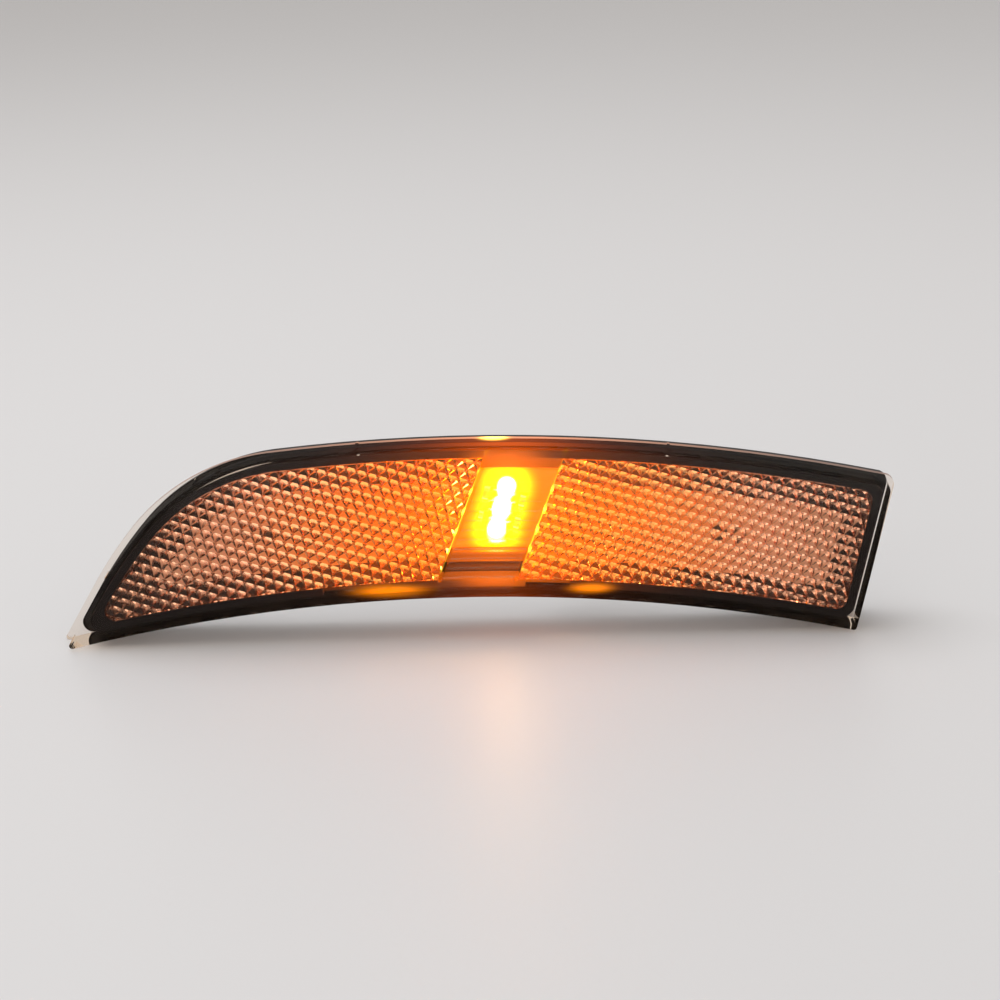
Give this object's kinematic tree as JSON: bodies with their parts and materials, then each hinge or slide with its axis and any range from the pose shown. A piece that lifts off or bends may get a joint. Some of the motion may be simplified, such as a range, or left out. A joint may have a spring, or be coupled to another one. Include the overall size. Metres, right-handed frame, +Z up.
{
  "type": "side marker lamp",
  "caption": "Curved car side marker lamp with a clear lens, two reflex panels of corner-cube cells, a lit window over an LED board, and a black tray with a connector socket.",
  "frame": {"origin": "in the plane of the flange's back face, at mid height of the lamp on the line of its long arcs' centre", "axes": "+X to the lamp's square end as seen from in front, +Y into the car body, away from the lens's face, +Z up"},
  "size_m": [0.2431, 0.036, 0.0579],
  "materials": {
    "clear_lens": "clear moulded polycarbonate, glossy",
    "reflex_optic": "clear moulded acrylic with corner-cube cells",
    "black_tray": "black moulded ABS, semi-gloss",
    "sealant": "black butyl sealant",
    "white_board": "white solder mask on glass epoxy",
    "led_frame": "white moulded lamp frame",
    "amber_emitter": "amber silicone filling, lit",
    "chip_black": "black glazed ceramic and epoxy with tinned ends",
    "chip_tan": "tan ceramic with tinned ends",
    "zinc_screw": "zinc-plated steel",
    "brass_pin": "stamped brass",
    "solder": "bright tin solder",
    "membrane": "white vent membrane"
  },
  "bodies": {
    "root": {"outer_lens": "clear_lens", "reflex_left": "reflex_optic", "reflex_right": "reflex_optic", "housing": "black_tray", "sealing_bead": "sealant", "circuit_board": "white_board", "led_upper": "led_frame", "led_middle": "led_frame", "led_lower": "led_frame", "emitter_upper": "amber_emitter", "emitter_middle": "amber_emitter", "emitter_lower": "amber_emitter", "resistor_upper": "chip_black", "resistor_lower": "chip_black", "diode": "chip_black", "capacitor": "chip_tan", "board_screw_left": "zinc_screw", "board_screw_right": "zinc_screw", "terminal_left": "brass_pin", "terminal_right": "brass_pin", "solder_left": "solder", "solder_right": "solder", "vent_membrane": "membrane"}
  },
  "joints": []
}
